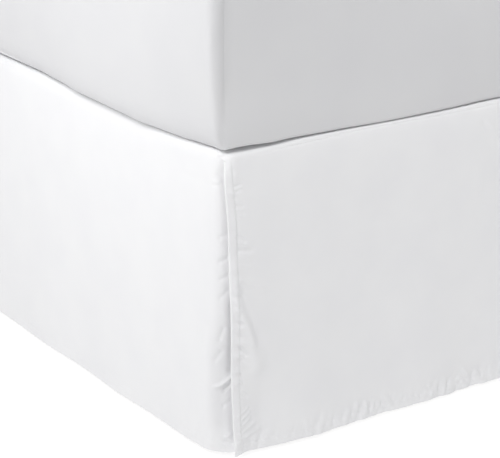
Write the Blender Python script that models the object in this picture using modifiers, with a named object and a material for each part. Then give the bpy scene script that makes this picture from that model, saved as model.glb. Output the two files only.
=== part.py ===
# A tailored bed skirt with split foot corners, hung from a plain bed base under its mattress.
# Metres. X runs across the foot of the bed, Y from the foot to the head, Z up from the floor.
# The skirt has a flat deck on the base, and three drops that hang from the deck's edges.
# "along" is measured from a foot corner: minus along the long side, plus along the foot.
# "depth" is the length of cloth below the line where the flat top starts to roll over the edge.

import math
from collections import namedtuple

import bmesh
import bpy

# Bed base and mattress
BASE_WIDTH = 1.524
BASE_LENGTH = 2.032
BASE_THICKNESS = 0.229
BASE_PLAN_RADIUS = 0.040
BASE_EDGE_RADIUS = 0.020
BASE_UNDER_RADIUS = 0.006
MATTRESS_WIDTH = 1.534
MATTRESS_LENGTH = 2.042
MATTRESS_THICKNESS = 0.254
MATTRESS_PLAN_RADIUS = 0.032
MATTRESS_TOP_RADIUS = 0.026
MATTRESS_UNDER_RADIUS = 0.014
PLAN_STEPS = 5
EDGE_STEPS = 3

# Legs, three a side
LEG_FOOT_RADIUS = 0.021
LEG_TOP_RADIUS = 0.030
LEG_SIDES = 20
LEG_INSET_ACROSS = 0.075
LEG_INSET_ENDS = 0.090

# Skirt
DROP = 0.406
HEM_CLEARANCE = 0.006
CLOTH = 0.0015
TOUCH = 0.0003
SEAM_GAP = 0.0009
ROLL_RADIUS = 0.014
SIDE_STANDOFF = 0.0045
FOOT_STANDOFF = 0.0070
CORNER_RADIUS_TOP = 0.020
CORNER_RADIUS_HEM = 0.060
TAIL_LENGTH = 0.112
TAIL_TUCK = 0.0032
TAIL_LEAD = 0.004
HEAD_SETBACK = 0.006
SWING_FADE = 1.3
DECK_BORDER_START = 0.002
LEG_SHARP_ANGLE = 40

# Mesh rows of the deck's border and of the drops
DECK_ROWS = 4
ROLL_ROWS = 5
ROLL_BAND = 0.025
FOOT_HANG_ROWS = 14
SIDE_HANG_ROWS = 9

# Mesh columns: how far the fine ones run from a corner, and the steps between them
SEAM_BEND_START = 0.048
SPLIT_ZONE = 0.125
SPLIT_STEP = 0.0085
FOOT_STEP = 0.056
SIDE_STEP = 0.065
WRAP_STEP = 0.0062
TAIL_STEP = 0.013
DECK_BEND_STEP = 0.0044
DECK_FOOT_STEP = 0.066
DECK_SIDE_STEP = 0.35

SKIRT_TOP = HEM_CLEARANCE + DROP
BASE_TOP = SKIRT_TOP - CLOTH / 2 - TOUCH
MATTRESS_UNDERSIDE = SKIRT_TOP + CLOTH / 2 + TOUCH
LEG_HEIGHT = BASE_TOP - BASE_THICKNESS - TOUCH
SIDE_PLANE = BASE_WIDTH / 2 + SIDE_STANDOFF
FOOT_PLANE = BASE_LENGTH / 2 + FOOT_STANDOFF
FOOT_SPAN = 2 * SIDE_PLANE
SIDE_SPAN = FOOT_PLANE + BASE_LENGTH / 2 - HEAD_SETBACK
ROLL_LENGTH = ROLL_RADIUS * math.pi / 2
HEM_DEPTH = ROLL_LENGTH + DROP - ROLL_RADIUS
# The foot stands a little further out than the head, so the bed is moved to stay centred.
CENTRE_SHIFT = (FOOT_STANDOFF - (MATTRESS_LENGTH - BASE_LENGTH) / 2 + CLOTH / 2) / 2

Fold = namedtuple("Fold", "from_along from_height to_along to_height half_width rise")

# Where the drops are sewn to the deck: along, and depth of the seam.
SEAM_DEPTHS = (
    (-0.048, -0.0040),
    (-0.030, -0.0004),
    (-0.013, 0.0085),
    (0.003, 0.0195),
    (0.050, 0.0180),
    (0.105, 0.0145),
    (0.224, 0.0120),
    (0.363, 0.0135),
    (0.560, 0.0115),
    (0.765, 0.0130),
)

# The foot drop's free edge: height, and how far along the foot it stands.
SPLIT_EDGE = (
    (0.006, 0.0150),
    (0.055, 0.0105),
    (0.110, 0.0090),
    (0.180, 0.0095),
    (0.300, 0.0070),
    (0.400, 0.0015),
)

# Swing of the hem out from the bed, along the foot from its left corner.
FOOT_SWINGS = (
    (0.000, 0.0010),
    (0.072, -0.0022),
    (0.135, 0.0020),
    (0.190, -0.0004),
    (0.250, -0.0026),
    (0.335, 0.0012),
    (0.410, -0.0022),
    (0.500, 0.0016),
    (0.600, -0.0010),
    (0.690, 0.0022),
    (0.790, -0.0018),
    (0.870, 0.0010),
    (0.985, -0.0024),
    (1.090, 0.0018),
    (1.180, -0.0012),
    (1.290, 0.0020),
    (1.385, -0.0018),
    (1.470, 0.0012),
    (1.533, 0.0006),
)

# Swing of the hem out from the bed, along a long side from its foot corner.
LEFT_SWINGS = (
    (0.000, 0.0000),
    (0.085, 0.0014),
    (0.170, -0.0008),
    (0.260, 0.0018),
    (0.370, -0.0014),
    (0.480, 0.0010),
    (0.610, -0.0018),
    (0.760, 0.0020),
    (0.890, -0.0012),
    (1.040, 0.0018),
    (1.210, -0.0020),
    (1.350, 0.0012),
    (1.520, -0.0014),
    (1.680, 0.0020),
    (1.850, -0.0010),
    (2.040, 0.0014),
)
RIGHT_SWINGS = (
    (0.000, 0.0000),
    (0.110, 0.0018),
    (0.230, -0.0014),
    (0.330, 0.0008),
    (0.470, -0.0018),
    (0.580, 0.0016),
    (0.730, -0.0010),
    (0.880, 0.0020),
    (1.010, -0.0016),
    (1.150, 0.0010),
    (1.320, -0.0012),
    (1.480, 0.0020),
    (1.640, -0.0018),
    (1.800, 0.0012),
    (1.930, -0.0008),
    (2.040, 0.0010),
)

# Soft ridges (plus) and troughs (minus) on the foot drop beside each split.
LEFT_CORNER_FOLDS = (
    Fold(0.030, 0.320, 0.078, 0.090, 0.036, 0.0024),
    Fold(0.026, 0.262, 0.062, 0.110, 0.018, 0.0024),
    Fold(0.046, 0.000, 0.060, 0.070, 0.024, -0.0038),
    Fold(0.150, 0.240, 0.130, 0.030, 0.045, 0.0012),
)
RIGHT_CORNER_FOLDS = (
    Fold(0.026, 0.350, 0.060, 0.150, 0.032, 0.0020),
    Fold(0.030, 0.215, 0.080, 0.060, 0.020, 0.0024),
    Fold(0.050, 0.000, 0.070, 0.060, 0.026, -0.0030),
    Fold(0.170, 0.200, 0.140, 0.020, 0.040, 0.0014),
)

# The foot drop's free edge stands off the tail below it.
FREE_EDGE_FLARE = Fold(0.010, 0.200, 0.018, 0.000, 0.014, 0.0030)


def ease(value):
    value = min(max(value, 0.0), 1.0)
    return value * value * (3 - 2 * value)


def read_table(table, position):
    # A smooth value between the two rows that the position lies between.
    if position <= table[0][0]:
        return table[0][1]
    for (start, low), (end, high) in zip(table, table[1:]):
        if position <= end:
            return low + (high - low) * ease((position - start) / (end - start))
    return table[-1][1]


def fold_rise(fold, along, height):
    # The rise fades off across the fold's line, and beyond its two ends.
    run = fold.to_along - fold.from_along
    climb = fold.to_height - fold.from_height
    length = math.hypot(run, climb)
    out_along = along - fold.from_along
    out_height = height - fold.from_height
    travelled = (out_along * run + out_height * climb) / length
    aside = abs(out_along * climb - out_height * run) / length
    beyond = max(-travelled, travelled - length, 0.0)
    spread = math.hypot(aside, beyond) / fold.half_width
    return fold.rise * math.exp(-spread * spread)


def height_at(fall):
    return SKIRT_TOP - fall


def hem_fade(height):
    # Folds swing freely at the hem and die out at the seam.
    return max(1 - height / SKIRT_TOP, 0.0) ** SWING_FADE


def foot_swing(side, along, height):
    # How far the foot drop swings out, at a distance from its left (-1) or right (1) corner.
    from_left = along if side < 0 else FOOT_SPAN - along
    return read_table(FOOT_SWINGS, from_left) * hem_fade(height)


def corner_folds(side, along, height):
    folds = LEFT_CORNER_FOLDS if side < 0 else RIGHT_CORNER_FOLDS
    return sum(fold_rise(fold, along, height) for fold in folds)


def roll_profile(depth):
    # How far the cloth lies in from its hanging plane, and how far below the top.
    if depth <= 0:
        return ROLL_RADIUS - depth, 0.0
    if depth < ROLL_LENGTH:
        angle = depth / ROLL_RADIUS
        return ROLL_RADIUS * (1 - math.sin(angle)), ROLL_RADIUS * (1 - math.cos(angle))
    return 0.0, ROLL_RADIUS + depth - ROLL_LENGTH


def facing(depth):
    # The outward and upward parts of the cloth's normal: up on the top, outward below the roll.
    angle = min(max(depth, 0.0), ROLL_LENGTH) / ROLL_RADIUS
    return math.sin(angle), math.cos(angle)


def corner_radius(fall):
    # The corner opens from a tight turn at the top to a wide one at the hem.
    opened = (ease(fall / DROP) + fall / DROP) / 2
    return CORNER_RADIUS_TOP + (CORNER_RADIUS_HEM - CORNER_RADIUS_TOP) * opened


def corner_path(along, radius):
    # Place and outward normal, from the corner that the two hanging planes would make.
    if along <= -radius:
        return 0.0, -along, -1.0, 0.0
    if along >= radius:
        return along, 0.0, 0.0, -1.0
    angle = (along / radius + 1) * math.pi / 4
    across = radius - radius * math.cos(angle)
    back = radius - radius * math.sin(angle)
    return across, back, -math.cos(angle), -math.sin(angle)


def cloth_point(side, along, depth, swing=0.0):
    # side is -1 at the left foot corner and 1 at the right one.
    inset, fall = roll_profile(depth)
    outward, upward = facing(depth)
    across, back, normal_x, normal_y = corner_path(along, corner_radius(fall))
    out = swing * outward - inset
    x = side * (SIDE_PLANE - across - normal_x * out)
    y = CENTRE_SHIFT - FOOT_PLANE + back + normal_y * out
    return x, y, height_at(fall) + swing * upward


def row_depth(row, hang_rows, seam):
    # Close rows over the rolled edge, wider ones down to the hem.
    if row <= ROLL_ROWS:
        return seam + ROLL_BAND * row / ROLL_ROWS
    below = seam + ROLL_BAND
    return below + (HEM_DEPTH - below) * (row - ROLL_ROWS) / hang_rows


def stations(*stretches):
    # Places from the start of each stretch to its end, in steps of about the size given.
    places = []
    for start, end, step in stretches:
        count = max(round((end - start) / step), 1)
        places += [start + (end - start) * number / count for number in range(count)]
    return places + [stretches[-1][1]]


def material(name, colour, roughness):
    finish = bpy.data.materials.new(name)
    finish.use_nodes = True
    shader = finish.node_tree.nodes["Principled BSDF"]
    shader.inputs["Base Color"].default_value = (*colour, 1.0)
    shader.inputs["Roughness"].default_value = roughness
    shader.inputs["Metallic"].default_value = 0.0
    return finish


def keep(obj, name, finish):
    obj.name = name
    obj.data.name = name
    obj.data.materials.append(finish)
    obj.data.shade_smooth()
    for collection in list(obj.users_collection):
        collection.objects.unlink(obj)
    PARTS.objects.link(obj)
    return obj


def grid(columns, rows, place):
    # A flat grid whose points are then moved to place(column, row).
    bpy.ops.mesh.primitive_grid_add(x_subdivisions=columns, y_subdivisions=rows, size=2)
    sheet = bpy.context.object
    for vertex in sheet.data.vertices:
        column = round((vertex.co.x + 1) / 2 * columns)
        row = round((1 - vertex.co.y) / 2 * rows)
        vertex.co = place(column, row)
    return sheet


def thicken(sheet):
    wall = sheet.modifiers.new("Cloth", "SOLIDIFY")
    wall.thickness = CLOTH
    wall.offset = 0.0
    return sheet


def rounded_block(size, centre, plan_radius, top_radius, under_radius):
    bpy.ops.mesh.primitive_cube_add(size=1, location=centre)
    block = bpy.context.object
    block.scale = size
    bpy.ops.object.transform_apply(location=False, rotation=False, scale=True)
    half_height = size[2] / 2
    shape = bmesh.new()
    shape.from_mesh(block.data)
    upright = [e for e in shape.edges if e.verts[0].co.z * e.verts[1].co.z < 0]
    bmesh.ops.bevel(
        shape, geom=upright, offset=plan_radius, segments=PLAN_STEPS, profile=0.5, affect="EDGES"
    )
    for level, radius in ((half_height, top_radius), (-half_height, under_radius)):
        rim = [e for e in shape.edges if all(abs(v.co.z - level) < TOUCH for v in e.verts)]
        bmesh.ops.bevel(
            shape, geom=rim, offset=radius, segments=EDGE_STEPS, profile=0.5, affect="EDGES"
        )
    shape.to_mesh(block.data)
    shape.free()
    return block


def make_base():
    centre = (0, CENTRE_SHIFT, BASE_TOP - BASE_THICKNESS / 2)
    size = (BASE_WIDTH, BASE_LENGTH, BASE_THICKNESS)
    base = rounded_block(size, centre, BASE_PLAN_RADIUS, BASE_EDGE_RADIUS, BASE_UNDER_RADIUS)
    keep(base, "bed_base", material("base cover", (0.62, 0.60, 0.57), 0.85))


def make_mattress():
    centre = (0, CENTRE_SHIFT, MATTRESS_UNDERSIDE + MATTRESS_THICKNESS / 2)
    size = (MATTRESS_WIDTH, MATTRESS_LENGTH, MATTRESS_THICKNESS)
    mattress = rounded_block(
        size, centre, MATTRESS_PLAN_RADIUS, MATTRESS_TOP_RADIUS, MATTRESS_UNDER_RADIUS
    )
    keep(mattress, "mattress", material("mattress cover", (0.80, 0.80, 0.82), 0.75))


def make_legs():
    wood = material("leg wood", (0.22, 0.15, 0.10), 0.5)
    from_centre = BASE_LENGTH / 2 - LEG_INSET_ENDS
    for row_name, y in (("foot", -from_centre), ("middle", 0.0), ("head", from_centre)):
        for side_name, side in (("left", -1), ("right", 1)):
            x = side * (BASE_WIDTH / 2 - LEG_INSET_ACROSS)
            bpy.ops.mesh.primitive_cone_add(
                vertices=LEG_SIDES,
                radius1=LEG_FOOT_RADIUS,
                radius2=LEG_TOP_RADIUS,
                depth=LEG_HEIGHT,
                location=(x, y + CENTRE_SHIFT, LEG_HEIGHT / 2),
            )
            leg = keep(bpy.context.object, f"leg_{row_name}_{side_name}", wood)
            leg.data.set_sharp_from_angle(angle=math.radians(LEG_SHARP_ANGLE))


def foot_station(place):
    # The foot corner that a place lies nearest to, and its distance from it. Places run from the
    # left side's head end (minus) past the left corner (zero) to the right side's head end.
    if place <= FOOT_SPAN / 2:
        return -1, place
    return 1, FOOT_SPAN - place


def make_deck(finish):
    # A rolled border strip with the flat middle filled in one face.
    bend = CORNER_RADIUS_TOP
    places = stations(
        (-SIDE_SPAN, -SEAM_BEND_START, DECK_SIDE_STEP),
        (-SEAM_BEND_START, bend, DECK_BEND_STEP),
        (bend, FOOT_SPAN - bend, DECK_FOOT_STEP),
        (FOOT_SPAN - bend, FOOT_SPAN + SEAM_BEND_START, DECK_BEND_STEP),
        (FOOT_SPAN + SEAM_BEND_START, FOOT_SPAN + SIDE_SPAN, DECK_SIDE_STEP),
    )

    def place(column, row):
        side, along = foot_station(places[column])
        seam = read_table(SEAM_DEPTHS, along)
        start = min(seam, 0.0) - DECK_BORDER_START
        return cloth_point(side, along, start + (seam - start) * row / DECK_ROWS)

    deck = grid(len(places) - 1, DECK_ROWS, place)
    shape = bmesh.new()
    shape.from_mesh(deck.data)
    shape.verts.ensure_lookup_table()
    inner_row = [vertex for vertex in shape.verts if vertex.index // len(places) == DECK_ROWS]
    shape.faces.new(inner_row)
    bmesh.ops.recalc_face_normals(shape, faces=shape.faces)
    shape.to_mesh(deck.data)
    shape.free()
    keep(thicken(deck), "deck", finish)


def make_foot_drop(finish):
    places = stations(
        (0.0, SPLIT_ZONE, SPLIT_STEP),
        (SPLIT_ZONE, FOOT_SPAN - SPLIT_ZONE, FOOT_STEP),
        (FOOT_SPAN - SPLIT_ZONE, FOOT_SPAN, SPLIT_STEP),
    )

    def place(column, row):
        side, distance = foot_station(places[column])
        height = height_at(DROP * max(row - ROLL_ROWS, 0) / FOOT_HANG_ROWS)
        # The columns lean with the free edge, and stand upright past the corner.
        along = distance + read_table(SPLIT_EDGE, height) * (1 - ease(distance / SPLIT_ZONE))
        seam = read_table(SEAM_DEPTHS, along) + SEAM_GAP
        depth = row_depth(row, FOOT_HANG_ROWS, seam)
        height = height_at(roll_profile(depth)[1])
        swing = foot_swing(side, along, height)
        swing += corner_folds(side, along, height) + fold_rise(FREE_EDGE_FLARE, along, height)
        return cloth_point(side, along, depth, swing * ease((depth - seam) / ROLL_BAND))

    drop = grid(len(places) - 1, ROLL_ROWS + FOOT_HANG_ROWS, place)
    keep(thicken(drop), "foot_drop", finish)


def make_side_drop(name, side, swings, finish):
    # A long side's drop, wrapped round the foot corner and tucked behind the foot drop.
    bend = CORNER_RADIUS_HEM
    places = stations(
        (-SIDE_SPAN, -2 * bend, SIDE_STEP),
        (-2 * bend, -bend, 3 * WRAP_STEP),
        (-bend, bend, WRAP_STEP),
        (bend, TAIL_LENGTH, TAIL_STEP),
    )

    def place(column, row):
        along = places[column]
        seam = read_table(SEAM_DEPTHS, along) + SEAM_GAP
        depth = row_depth(row, SIDE_HANG_ROWS, seam)
        fall = roll_profile(depth)[1]
        height = height_at(fall)
        tuck_start = -corner_radius(fall) / 2
        tuck_end = read_table(SPLIT_EDGE, height) - TAIL_LEAD
        tucked = ease((along - tuck_start) / (tuck_end - tuck_start))
        side_swing = read_table(swings, -along) * hem_fade(height)
        # The tail follows the foot drop's troughs and lies flat behind its ridges.
        behind = foot_swing(side, along, height) + min(corner_folds(side, along, height), 0.0)
        tail_swing = behind * ease((depth - seam) / ROLL_BAND) - TAIL_TUCK
        return cloth_point(side, along, depth, side_swing + (tail_swing - side_swing) * tucked)

    drop = grid(len(places) - 1, ROLL_ROWS + SIDE_HANG_ROWS, place)
    keep(thicken(drop), name, finish)


for old in list(bpy.data.objects):
    bpy.data.objects.remove(old)
PARTS = bpy.data.collections.new("bed_skirt")
bpy.context.scene.collection.children.link(PARTS)

make_base()
make_mattress()
make_legs()
make_deck(material("deck cloth", (0.86, 0.86, 0.88), 0.85))
make_foot_drop(material("foot drop cloth", (0.88, 0.88, 0.90), 0.82))
make_side_drop("left_drop", -1, LEFT_SWINGS, material("left drop cloth", (0.88, 0.88, 0.90), 0.82))
make_side_drop("right_drop", 1, RIGHT_SWINGS, material("right drop cloth", (0.88, 0.88, 0.90), 0.82))
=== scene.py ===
import math
from collections import namedtuple

import bmesh
import bpy
from mathutils import Matrix, Vector, noise


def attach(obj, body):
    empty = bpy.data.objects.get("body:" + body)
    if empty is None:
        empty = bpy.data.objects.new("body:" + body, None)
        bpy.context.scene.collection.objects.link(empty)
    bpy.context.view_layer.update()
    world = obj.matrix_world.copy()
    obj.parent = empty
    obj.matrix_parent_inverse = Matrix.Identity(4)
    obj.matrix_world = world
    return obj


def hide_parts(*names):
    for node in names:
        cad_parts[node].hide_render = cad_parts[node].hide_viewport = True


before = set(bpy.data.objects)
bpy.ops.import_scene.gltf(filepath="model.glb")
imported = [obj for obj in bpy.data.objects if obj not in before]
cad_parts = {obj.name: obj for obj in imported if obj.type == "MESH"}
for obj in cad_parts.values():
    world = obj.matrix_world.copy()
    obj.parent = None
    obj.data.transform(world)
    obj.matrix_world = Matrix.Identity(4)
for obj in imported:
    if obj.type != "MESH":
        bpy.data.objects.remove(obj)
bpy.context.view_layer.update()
# nothing loaded stays selected, where an operator could change it
for loaded in bpy.context.selected_objects:
    loaded.select_set(False)

# Metres. X runs across the foot of the bed, Y from foot to head, Z up from the floor.
# "along" is cloth length from a foot corner: minus up the long side, plus along the foot.
# "depth" is cloth length down from the line where the flat top starts to roll over.
bed = {
    "baseWidth": 1.524,
    "baseLength": 2.032,
    "baseThickness": 0.229,
    "baseTop": 0.41095,
    "mattressWidth": 1.534,
    "mattressLength": 2.042,
    "mattressThickness": 0.254,
    "mattressUnderside": 0.41305,
    "shift": 0.001375,  # the foot stands out a little further than the head
}
skirt = {
    "top": 0.412,
    "drop": 0.406,
    "roll": 0.014,  # radius of the cloth over the bed's edge
    "sidePlane": 0.7665,
    "footPlane": 1.023,
    "cornerTop": 0.020,
    "cornerHem": 0.060,
    "swingFade": 1.3,
    "rollBand": 0.025,
    "seamDepth": 0.013,  # near enough where the deck ends and the drops begin
    "headShort": 0.006,  # the side drops end this far before the base does
    "fullFrom": 0.0125,
    "fullOver": 0.021,
    "tailLength": 0.112,
    "tailTuck": 0.0032,
}
footSpan = 2 * skirt["sidePlane"]
sideSpan = skirt["footPlane"] + bed["baseLength"] / 2 - skirt["headShort"]
rollLength = skirt["roll"] * math.pi / 2
hemDepth = rollLength + skirt["drop"] - skirt["roll"]
clothDrop = hemDepth - skirt["seamDepth"]

Fold = namedtuple("Fold", "fromAlong fromHeight toAlong toHeight halfWidth rise")

# along, depth of the seam between deck and drops
seamDepths = (
    (-0.048, -0.0040),
    (-0.030, -0.0004),
    (-0.013, 0.0085),
    (0.003, 0.0195),
    (0.050, 0.0180),
    (0.105, 0.0145),
    (0.224, 0.0120),
    (0.363, 0.0135),
    (0.560, 0.0115),
    (0.765, 0.0130),
)
# height, how far along the foot the foot drop's free edge stands
splitEdge = (
    (0.006, 0.0134),
    (0.055, 0.0105),
    (0.110, 0.0090),
    (0.180, 0.0095),
    (0.300, 0.0070),
    (0.400, 0.0015),
)
# along, swing of the hem out from the bed
footSwings = (
    (0.000, 0.0010), (0.072, -0.0022), (0.135, 0.0020), (0.190, -0.0004), (0.250, -0.0026),
    (0.335, 0.0012), (0.410, -0.0022), (0.500, 0.0016), (0.600, -0.0010), (0.690, 0.0022),
    (0.790, -0.0018), (0.870, 0.0010), (0.985, -0.0024), (1.090, 0.0018), (1.180, -0.0012),
    (1.290, 0.0020), (1.385, -0.0018), (1.470, 0.0012), (1.533, 0.0006),
)
leftSwings = (
    (0.000, 0.0000), (0.085, 0.0014), (0.170, -0.0008), (0.260, 0.0018), (0.370, -0.0014),
    (0.480, 0.0010), (0.610, -0.0018), (0.760, 0.0020), (0.890, -0.0012), (1.040, 0.0018),
    (1.210, -0.0020), (1.350, 0.0012), (1.520, -0.0014), (1.680, 0.0020), (1.850, -0.0010),
    (2.040, 0.0014),
)
rightSwings = (
    (0.000, 0.0000), (0.110, 0.0018), (0.230, -0.0014), (0.330, 0.0008), (0.470, -0.0018),
    (0.580, 0.0016), (0.730, -0.0010), (0.880, 0.0020), (1.010, -0.0016), (1.150, 0.0010),
    (1.320, -0.0012), (1.480, 0.0020), (1.640, -0.0018), (1.800, 0.0012), (1.930, -0.0008),
    (2.040, 0.0010),
)
# soft ridges (plus) and troughs (minus) of the foot drop beside each split
leftCornerFolds = (
    Fold(0.030, 0.320, 0.078, 0.090, 0.036, 0.0024),
    Fold(0.046, 0.000, 0.060, 0.070, 0.024, -0.0038),
    Fold(0.150, 0.240, 0.130, 0.030, 0.045, 0.0012),
)
rightCornerFolds = (
    Fold(0.026, 0.350, 0.060, 0.150, 0.032, 0.0020),
    Fold(0.030, 0.215, 0.080, 0.060, 0.020, 0.0024),
    Fold(0.050, 0.000, 0.070, 0.060, 0.026, -0.0030),
    Fold(0.170, 0.200, 0.140, 0.020, 0.040, 0.0014),
)
freeEdgeFlare = Fold(0.010, 0.200, 0.018, 0.000, 0.014, 0.0030)


def ease(value):
    value = min(max(value, 0.0), 1.0)
    return value * value * (3 - 2 * value)


def rising(value, start, length):
    return ease((value - start) / length)


def falling(value, start, length):
    return ease((start - value) / length)


def readTable(table, position):
    # a smooth value between the two rows that the position lies between
    if position <= table[0][0]:
        return table[0][1]
    for (start, low), (end, high) in zip(table, table[1:]):
        if position <= end:
            return low + (high - low) * ease((position - start) / (end - start))
    return table[-1][1]


def foldRise(fold, along, height):
    # the rise fades off across the fold's line and beyond its two ends
    run, climb = fold.toAlong - fold.fromAlong, fold.toHeight - fold.fromHeight
    length = math.hypot(run, climb)
    outAlong, outHeight = along - fold.fromAlong, height - fold.fromHeight
    travelled = (outAlong * run + outHeight * climb) / length
    aside = abs(outAlong * climb - outHeight * run) / length
    beyond = max(-travelled, travelled - length, 0.0)
    spread = math.hypot(aside, beyond) / fold.halfWidth
    return fold.rise * math.exp(-spread * spread) if spread < 3 else 0.0


def bell(distance, halfWidth):
    spread = distance / halfWidth
    return math.exp(-spread * spread) if abs(spread) < 3 else 0.0


def heightAt(fall):
    return skirt["top"] - fall


def hemFade(height):
    return max(1 - height / skirt["top"], 0.0) ** skirt["swingFade"]


def footSwing(side, along, height):
    fromLeft = along if side < 0 else footSpan - along
    return readTable(footSwings, fromLeft) * hemFade(height)


def cornerFolds(side, along, height):
    folds = leftCornerFolds if side < 0 else rightCornerFolds
    return sum(foldRise(fold, along, height) for fold in folds)


def rollProfile(depth):
    # how far the cloth lies in from its hanging plane, and how far below the top
    radius = skirt["roll"]
    if depth <= 0:
        return radius - depth, 0.0
    if depth < rollLength:
        angle = depth / radius
        return radius * (1 - math.sin(angle)), radius * (1 - math.cos(angle))
    return 0.0, radius + depth - rollLength


def cornerRadius(fall):
    opened = (ease(fall / skirt["drop"]) + fall / skirt["drop"]) / 2
    return skirt["cornerTop"] + (skirt["cornerHem"] - skirt["cornerTop"]) * opened


def cornerPath(along, radius):
    # place and outward normal, from the corner that the two hanging planes would make
    if along <= -radius:
        return 0.0, -along, -1.0, 0.0
    if along >= radius:
        return along, 0.0, 0.0, -1.0
    angle = (along / radius + 1) * math.pi / 4
    across, back = radius - radius * math.cos(angle), radius - radius * math.sin(angle)
    return across, back, -math.cos(angle), -math.sin(angle)


def clothPoint(side, along, depth, swing=0.0):
    # side is -1 at the left foot corner and 1 at the right one
    inset, fall = rollProfile(depth)
    angle = min(max(depth, 0.0), rollLength) / skirt["roll"]
    across, back, normalX, normalY = cornerPath(along, cornerRadius(fall))
    out = swing * math.sin(angle) - inset
    x = side * (skirt["sidePlane"] - across - normalX * out)
    y = bed["shift"] - skirt["footPlane"] + back + normalY * out
    return Vector((x, y, heightAt(fall) + swing * math.cos(angle)))


def uneven(x, y, seed):
    # smooth noise of about -1 to 1, the same at each run; another seed gives another pattern
    return 2 * noise.noise(Vector((x, y, seed)))


# what draws the cloth up along a line of stitches
sewing = {
    "hemWidth": 0.0125,
    "sideHemWidth": 0.0112,
    "hemEnds": 0.0012,  # cloth over which a hem thins to one layer
    "clothThickness": 0.0007,
    "hemThickness": 0.0013,
    "stitchHalfWidth": 0.0013,
    "hemDip": 0.00051,  # how far the stitches pull the cloth in
    "sideDip": 0.00068,
    "pitch": 0.0105,  # from one pucker to the next
    "small": 0.45,  # the puckers between them, in width and rise
    "sidePitch": 0.85,
    "hemPucker": 0.00180,
    "sidePucker": 0.00150,
    "hemLimit": 0.06,  # puckers end within this of the stitches
    "sideLimit": 0.04,
    "reach": 0.006,  # how far they run: at least, more by the patch, more by chance
    "reachByPatch": 0.007,
    "reachByChance": 0.008,
    "chanceWave": 0.045,
    "lean": 0.45,
    "leanWave": 0.06,
    "sideLean": 0.35,
    "puckerLength": 0.03,
    "smallLength": 0.02,
    "patchWave": 0.07,
    "hemStep": 0.0016,
    "stepFade": 0.0038,
}
# the seam between deck and drops, which lies closed round the foot corner
seamLine = {
    "corner": -0.005,  # the middle of that corner, along
    "gap": 0.00012,
    "gapOpens": (0.05, 0.06),  # from how far off the corner, over what length
    "dip": 0.0007,
    "dipHalfWidth": 0.0016,
    "dipDeepens": (0.03, 0.07),
    "ripple": 0.00035,
    "rippleWave": (0.011, 0.02),
    "rippleDepth": 0.004,
    "rippleHalfWidth": 0.008,
}
# the slow unevenness of hanging cloth
slack = {"rise": 0.0006, "fade": 0.09, "wave": (0.16, 0.30), "small": 0.5, "smallWave": (0.07, 0.12)}

# a crease: its line of (along, height), half width, and rise (minus is a trough)
Crease = namedtuple("Crease", "line halfWidth rise")


def creasesOf(*rows):
    return [Crease(*row) for row in rows]


footCreases = creasesOf(
    # the soft fold that leaves the free edge's hem at its middle, its ridge and its trough
    (
        ((0.012, 0.262), (0.019, 0.220), (0.029, 0.192), (0.037, 0.164), (0.048, 0.128)),
        0.0120,
        0.0040,
    ),
    (
        (
            (0.0150, 0.245), (0.0186, 0.219), (0.0241, 0.203), (0.0310, 0.189), (0.0370, 0.175),
            (0.0420, 0.160),
        ),
        0.0055,
        0.0017,
    ),
    (
        (
            (0.0240, 0.240), (0.0275, 0.219), (0.0330, 0.203), (0.0400, 0.189), (0.0460, 0.175),
            (0.0510, 0.160),
        ),
        0.0065,
        -0.0014,
    ),
    (((0.024, 0.246), (0.058, 0.229)), 0.0050, 0.0013),
    # tucks beside the line of stitches, from the top down
    (((0.018, 0.3695), (0.026, 0.3705)), 0.0018, -0.0008),
    (((0.018, 0.3655), (0.027, 0.3670)), 0.0018, 0.0006),
    (((0.018, 0.3620), (0.025, 0.3630)), 0.0018, -0.0008),
    (((0.019, 0.3440), (0.026, 0.3420)), 0.0026, -0.0008),
    (((0.019, 0.3360), (0.028, 0.3340)), 0.0026, -0.0006),
    (((0.020, 0.3050), (0.030, 0.2970)), 0.0030, -0.0011),
    (((0.021, 0.2860), (0.040, 0.2830)), 0.0034, -0.0013),
    (((0.022, 0.2720), (0.040, 0.2660)), 0.0030, -0.0008),
    (((0.020, 0.1580), (0.031, 0.1460)), 0.0026, -0.0011),
    (((0.019, 0.1220), (0.026, 0.1080)), 0.0026, -0.0011),
    (((0.020, 0.0980), (0.032, 0.0870)), 0.0028, -0.0011),
    # the fan of creases over the hem's corner
    (((0.019, 0.0640), (0.033, 0.0710)), 0.0022, 0.0011),
    (((0.021, 0.0550), (0.036, 0.0640)), 0.0022, 0.0011),
    (((0.021, 0.0450), (0.038, 0.0560)), 0.0022, 0.0011),
    (((0.022, 0.0370), (0.047, 0.0460)), 0.0024, 0.0013),
    (((0.024, 0.0290), (0.058, 0.0360)), 0.0026, 0.0013),
    (((0.020, 0.0240), (0.034, 0.0290)), 0.0020, 0.0008),
    # further along the foot
    (
        ((0.411, 0.384), (0.418, 0.374), (0.427, 0.362), (0.432, 0.346), (0.436, 0.331)),
        0.0040,
        -0.0017,
    ),
    (((0.420, 0.385), (0.436, 0.360)), 0.0050, 0.0011),
    (((0.406, 0.324), (0.408, 0.292)), 0.0036, 0.0011),
    (((0.390, 0.128), (0.408, 0.092)), 0.0060, 0.0011),
)
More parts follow.
